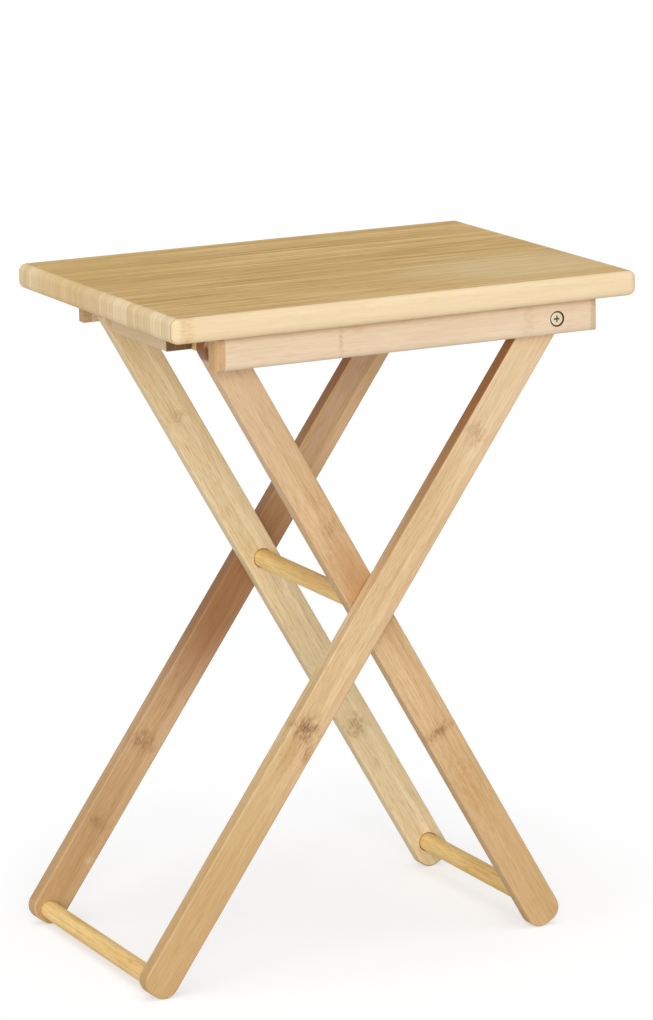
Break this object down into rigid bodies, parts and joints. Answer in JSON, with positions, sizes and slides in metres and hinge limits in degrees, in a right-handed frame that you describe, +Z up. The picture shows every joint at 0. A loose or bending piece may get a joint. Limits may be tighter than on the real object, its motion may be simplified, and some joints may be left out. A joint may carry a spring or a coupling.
{
  "type": "folding tray table",
  "caption": "Folding bamboo side table: a rounded rectangular top with side rails on an X frame of flat legs joined by dowels.",
  "frame": {"origin": "on the floor, in the middle of the open table's outline seen from above", "axes": "+Z up, +X along the top's long edge towards the pivot bolts, +Y from the front rail to the rear rail"},
  "size_m": [0.5283, 0.375, 0.674],
  "materials": {
    "bamboo_panel": "satin lacquer",
    "bamboo_rail": "satin lacquer",
    "bamboo_strip": "satin lacquer",
    "bamboo_dowel": "satin lacquer",
    "beech_pin": "bare",
    "bolt_brass": "pale plated",
    "zinc_steel": "zinc plated"
  },
  "bodies": {
    "outer_frame": {"outer_leg_front": "bamboo_strip", "outer_leg_rear": "bamboo_strip", "outer_foot_dowel": "bamboo_dowel", "mid_pivot_dowel": "bamboo_dowel"},
    "inner_frame": {"inner_leg_front": "bamboo_strip", "inner_leg_rear": "bamboo_strip", "inner_foot_dowel": "bamboo_dowel", "inner_bearing_dowel": "bamboo_dowel"},
    "top_pivots": {"pivot_bolt_front": "bolt_brass", "pivot_bolt_rear": "bolt_brass", "sleeve_nut_front": "zinc_steel", "sleeve_nut_rear": "zinc_steel", "pivot_washer_front": "zinc_steel", "pivot_washer_rear": "zinc_steel"},
    "table_top": {"tabletop": "bamboo_panel", "rail_front": "bamboo_rail", "rail_rear": "bamboo_rail", "stop_batten": "bamboo_strip", "rail_pins": "beech_pin", "batten_screws": "zinc_steel"}
  },
  "joints": [
    {"name": "frame_fold", "type": "hinge", "parent": "outer_frame", "child": "inner_frame", "pos_m": [-0.00634, 0, 0.358], "axis": [0, 1, 0], "range_deg": [0, 64.4]},
    {"name": "top_follow", "type": "hinge", "parent": "outer_frame", "child": "top_pivots", "pos_m": [0.18536, 0, 0.6303], "axis": [0, 1, 0], "range_deg": [0, 32.2]},
    {"name": "top_lift", "type": "hinge", "parent": "top_pivots", "child": "table_top", "pos_m": [0.18536, 0, 0.6303], "axis": [0, 1, 0], "range_deg": [0, 90]}
  ],
  "couplings": [
    {"joint": "top_follow", "follows": "frame_fold", "ratio": 0.5}
  ]
}
